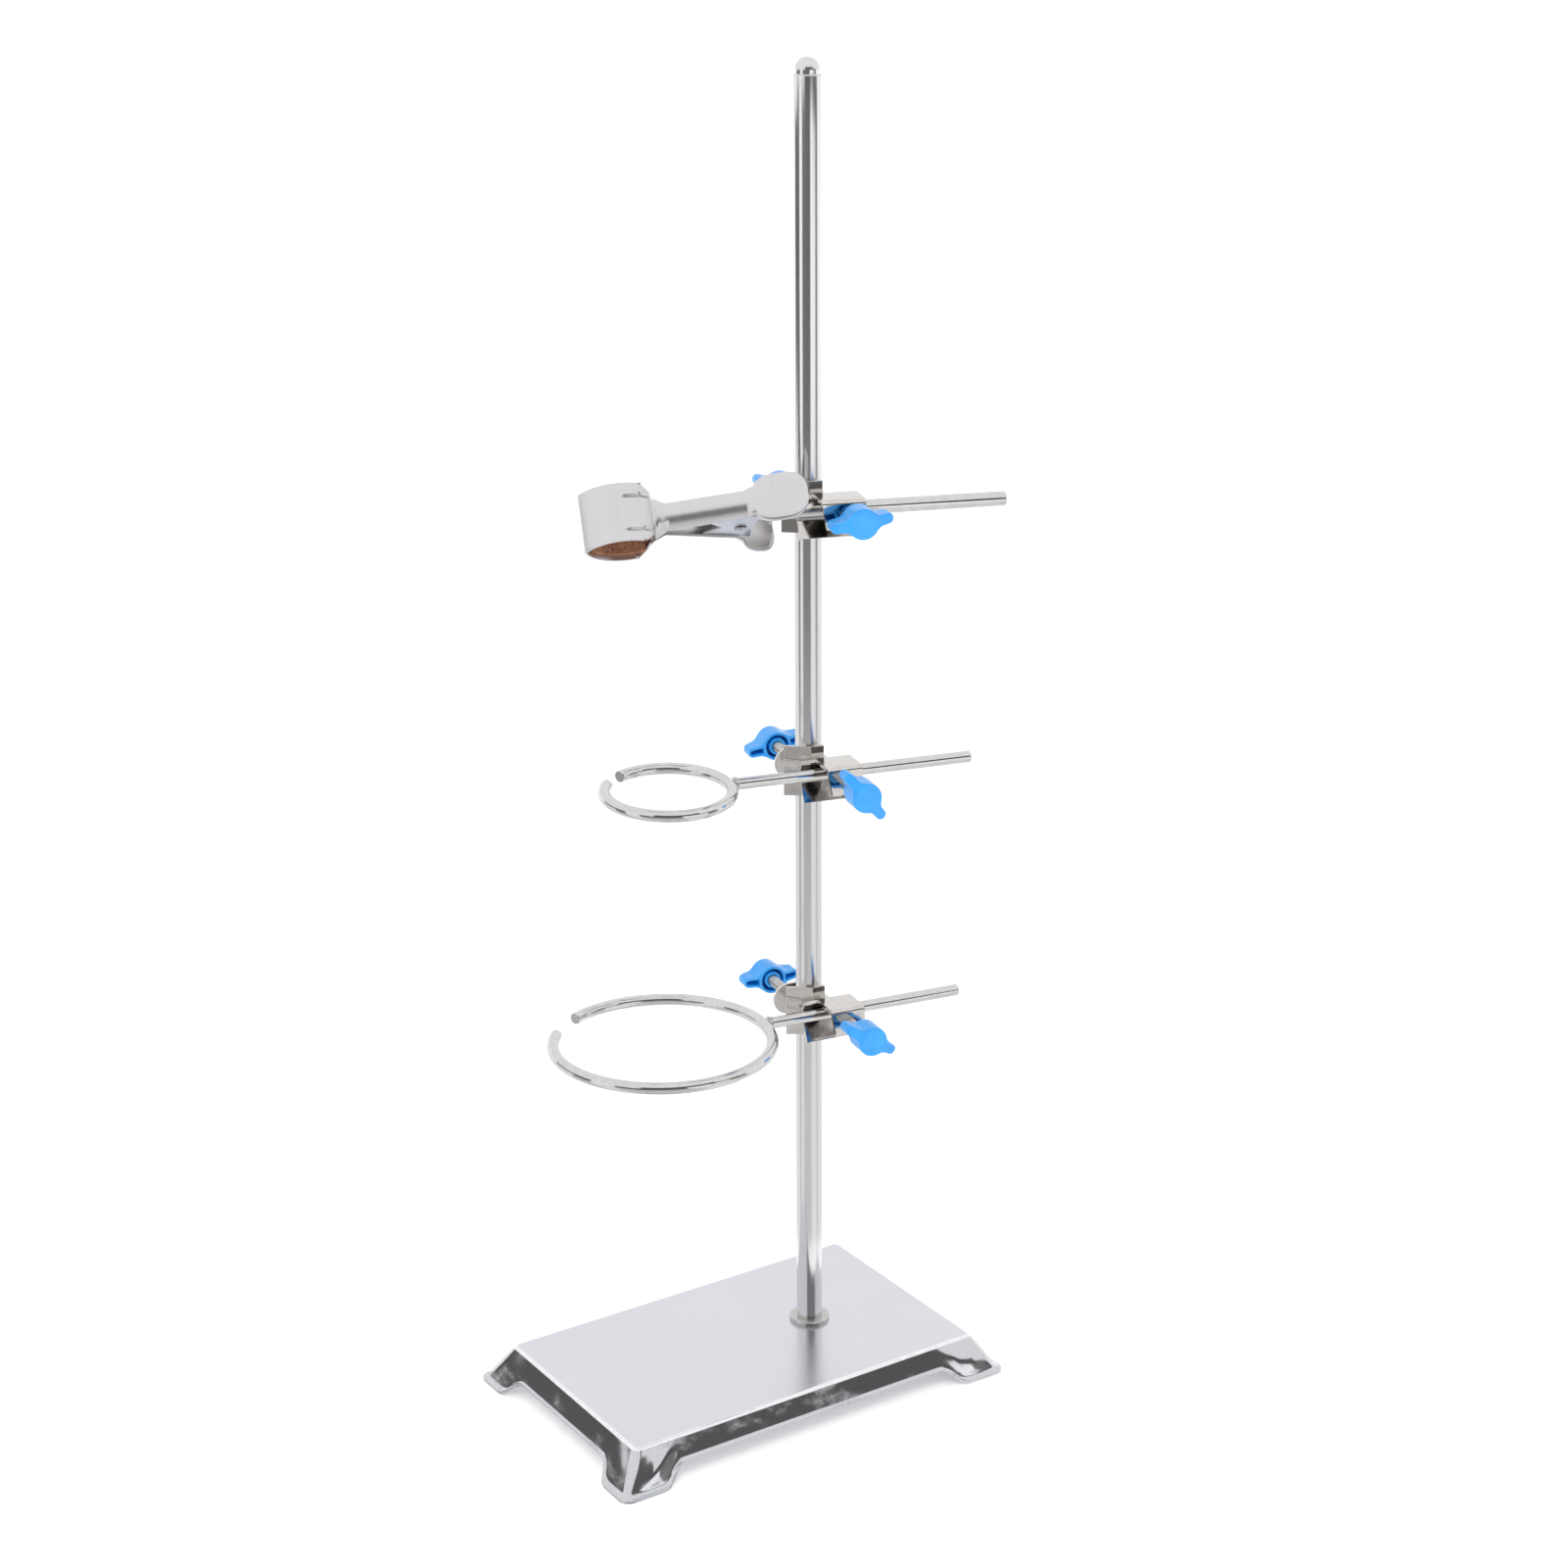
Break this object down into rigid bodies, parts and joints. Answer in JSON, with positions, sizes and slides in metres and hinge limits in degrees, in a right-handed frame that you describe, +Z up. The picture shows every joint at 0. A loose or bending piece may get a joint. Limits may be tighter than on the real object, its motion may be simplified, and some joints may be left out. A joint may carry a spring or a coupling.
{
  "type": "retort stand",
  "caption": "Laboratory retort stand: pressed steel base, upright post, bossheads with winged thumbscrews, two open support rings and a cork-lined spring clamp on a rod",
  "frame": {"origin": "centre of the base's footprint, on the bench", "axes": "+Z up along the post, +X along the base's long side towards the post, +Y to the back"},
  "size_m": [0.2206, 0.135, 0.606],
  "materials": {
    "base_steel": "brushed along the long side",
    "post_steel": "turned and polished",
    "plated_sheet": "bright nickel plate",
    "ring_wire": "polished",
    "brushed_sheet": "brushed along the jaw's height",
    "fastener_steel": "machined",
    "blue_plastic": "moulded, slightly glossy",
    "cork": "cork sheet"
  },
  "bodies": {
    "stand": {"base_shell": "base_steel", "post": "post_steel", "post_flange": "fastener_steel", "under_washer": "fastener_steel", "under_nut": "fastener_steel"},
    "clamp_boss": {"clamp_boss_post_channel": "plated_sheet", "clamp_boss_rod_channel": "plated_sheet"},
    "clamp_boss_post_screw": {"clamp_boss_post_screw": "fastener_steel"},
    "clamp_boss_post_knob": {"clamp_boss_post_knob": "blue_plastic"},
    "clamp_boss_rod_screw": {"clamp_boss_rod_screw": "fastener_steel"},
    "clamp_boss_rod_knob": {"clamp_boss_rod_knob": "blue_plastic"},
    "small_ring_boss": {"small_ring_boss_post_channel": "plated_sheet", "small_ring_boss_rod_channel": "plated_sheet"},
    "small_ring_boss_post_screw": {"small_ring_boss_post_screw": "fastener_steel"},
    "small_ring_boss_post_knob": {"small_ring_boss_post_knob": "blue_plastic"},
    "small_ring_boss_rod_screw": {"small_ring_boss_rod_screw": "fastener_steel"},
    "small_ring_boss_rod_knob": {"small_ring_boss_rod_knob": "blue_plastic"},
    "large_ring_boss": {"large_ring_boss_post_channel": "plated_sheet", "large_ring_boss_rod_channel": "plated_sheet"},
    "large_ring_boss_post_screw": {"large_ring_boss_post_screw": "fastener_steel"},
    "large_ring_boss_post_knob": {"large_ring_boss_post_knob": "blue_plastic"},
    "large_ring_boss_rod_screw": {"large_ring_boss_rod_screw": "fastener_steel"},
    "large_ring_boss_rod_knob": {"large_ring_boss_rod_knob": "blue_plastic"},
    "small_ring": {"small_ring_hoop": "ring_wire", "small_ring_arm": "ring_wire"},
    "large_ring": {"large_ring_hoop": "ring_wire", "large_ring_arm": "ring_wire"},
    "clamp_rod": {"clamp_rod": "ring_wire", "clamp_pin": "fastener_steel", "clamp_spring": "fastener_steel"},
    "clamp_front_half": {"clamp_front_jaw": "brushed_sheet", "clamp_front_lining": "cork"},
    "clamp_rear_half": {"clamp_rear_jaw": "brushed_sheet", "clamp_rear_lining": "cork"}
  },
  "joints": [
    {"name": "clamp_boss_height", "type": "slide", "parent": "stand", "child": "clamp_boss", "axis": [0, 0, 1], "range_m": [-0.04, 0.17]},
    {"name": "clamp_boss_post_screw_travel", "type": "slide", "parent": "clamp_boss", "child": "clamp_boss_post_screw", "axis": [0.3338, 0.9426, 0], "range_m": [0, 0.008]},
    {"name": "clamp_boss_post_knob_turn", "type": "hinge", "parent": "clamp_boss_post_screw", "child": "clamp_boss_post_knob", "pos_m": [0.05169, 0.03865, 0.4131], "axis": [0.3338, 0.9426, 0], "range_deg": [0, 3600]},
    {"name": "clamp_boss_rod_screw_travel", "type": "slide", "parent": "clamp_boss", "child": "clamp_boss_rod_screw", "axis": [-0.3338, -0.9426, 0], "range_m": [0, 0.008]},
    {"name": "clamp_boss_rod_knob_turn", "type": "hinge", "parent": "clamp_boss_rod_screw", "child": "clamp_boss_rod_knob", "pos_m": [0.03924, -0.03545, 0.4164], "axis": [-0.3338, -0.9426, 0], "range_deg": [0, 3600]},
    {"name": "small_ring_boss_height", "type": "slide", "parent": "stand", "child": "small_ring_boss", "axis": [0, 0, 1], "range_m": [-0.038, 0.04]},
    {"name": "small_ring_boss_post_screw_travel", "type": "slide", "parent": "small_ring_boss", "child": "small_ring_boss_post_screw", "axis": [0.2385, 0.9711, 0], "range_m": [0, 0.008]},
    {"name": "small_ring_boss_post_knob_turn", "type": "hinge", "parent": "small_ring_boss_post_screw", "child": "small_ring_boss_post_knob", "pos_m": [0.04778, 0.03982, 0.2927], "axis": [0.2385, 0.9711, 0], "range_deg": [0, 3600]},
    {"name": "small_ring_boss_rod_screw_travel", "type": "slide", "parent": "small_ring_boss", "child": "small_ring_boss_rod_screw", "axis": [-0.2385, -0.9711, 0], "range_m": [0, 0.008]},
    {"name": "small_ring_boss_rod_knob_turn", "type": "hinge", "parent": "small_ring_boss_rod_screw", "child": "small_ring_boss_rod_knob", "pos_m": [0.03662, -0.04085, 0.296], "axis": [-0.2385, -0.9711, 0], "range_deg": [0, 3600]},
    {"name": "large_ring_boss_height", "type": "slide", "parent": "stand", "child": "large_ring_boss", "axis": [0, 0, 1], "range_m": [-0.14, 0.038]},
    {"name": "large_ring_boss_post_screw_travel", "type": "slide", "parent": "large_ring_boss", "child": "large_ring_boss_post_screw", "axis": [0.1668, 0.986, 0], "range_m": [0, 0.008]},
    {"name": "large_ring_boss_post_knob_turn", "type": "hinge", "parent": "large_ring_boss_post_screw", "child": "large_ring_boss_post_knob", "pos_m": [0.04484, 0.04043, 0.177], "axis": [0.1668, 0.986, 0], "range_deg": [0, 3600]},
    {"name": "large_ring_boss_rod_screw_travel", "type": "slide", "parent": "large_ring_boss", "child": "large_ring_boss_rod_screw", "axis": [-0.1668, -0.986, 0], "range_m": [0, 0.008]},
    {"name": "large_ring_boss_rod_knob_turn", "type": "hinge", "parent": "large_ring_boss_rod_screw", "child": "large_ring_boss_rod_knob", "pos_m": [0.03961, -0.04084, 0.1803], "axis": [-0.1668, -0.986, 0], "range_deg": [0, 3600]},
    {"name": "small_ring_reach", "type": "slide", "parent": "small_ring_boss", "child": "small_ring", "axis": [0.9711, -0.2385, 0], "range_m": [-0.05, 0.024]},
    {"name": "large_ring_reach", "type": "slide", "parent": "large_ring_boss", "child": "large_ring", "axis": [0.986, -0.1668, 0], "range_m": [-0.052, 0.011]},
    {"name": "clamp_rod_roll", "type": "hinge", "parent": "clamp_boss", "child": "clamp_rod", "pos_m": [0.03366, -0.01225, 0.4164], "axis": [0.9426, -0.3338, 0], "range_deg": [-60, 60]},
    {"name": "clamp_front_half_open", "type": "hinge", "parent": "clamp_rod", "child": "clamp_front_half", "pos_m": [0.00161, -0.0009, 0.4164], "axis": [0.1915, 0.5407, 0.8192], "range_deg": [0, 8], "stiffness_Nm_per_rad": 0.3, "springref_deg": -28.65},
    {"name": "clamp_rear_half_open", "type": "hinge", "parent": "clamp_rod", "child": "clamp_rear_half", "pos_m": [0.00161, -0.0009, 0.4164], "axis": [0.1915, 0.5407, 0.8192], "range_deg": [-8, 0], "stiffness_Nm_per_rad": 0.3, "springref_deg": 28.65}
  ],
  "couplings": [
    {"joint": "clamp_boss_post_knob_turn", "follows": "clamp_boss_post_screw_travel", "rad_per_m": 7854},
    {"joint": "clamp_boss_rod_knob_turn", "follows": "clamp_boss_rod_screw_travel", "rad_per_m": 7854},
    {"joint": "small_ring_boss_post_knob_turn", "follows": "small_ring_boss_post_screw_travel", "rad_per_m": 7854},
    {"joint": "small_ring_boss_rod_knob_turn", "follows": "small_ring_boss_rod_screw_travel", "rad_per_m": 7854},
    {"joint": "large_ring_boss_post_knob_turn", "follows": "large_ring_boss_post_screw_travel", "rad_per_m": 7854},
    {"joint": "large_ring_boss_rod_knob_turn", "follows": "large_ring_boss_rod_screw_travel", "rad_per_m": 7854},
    {"joint": "clamp_rear_half_open", "follows": "clamp_front_half_open", "ratio": -1}
  ]
}
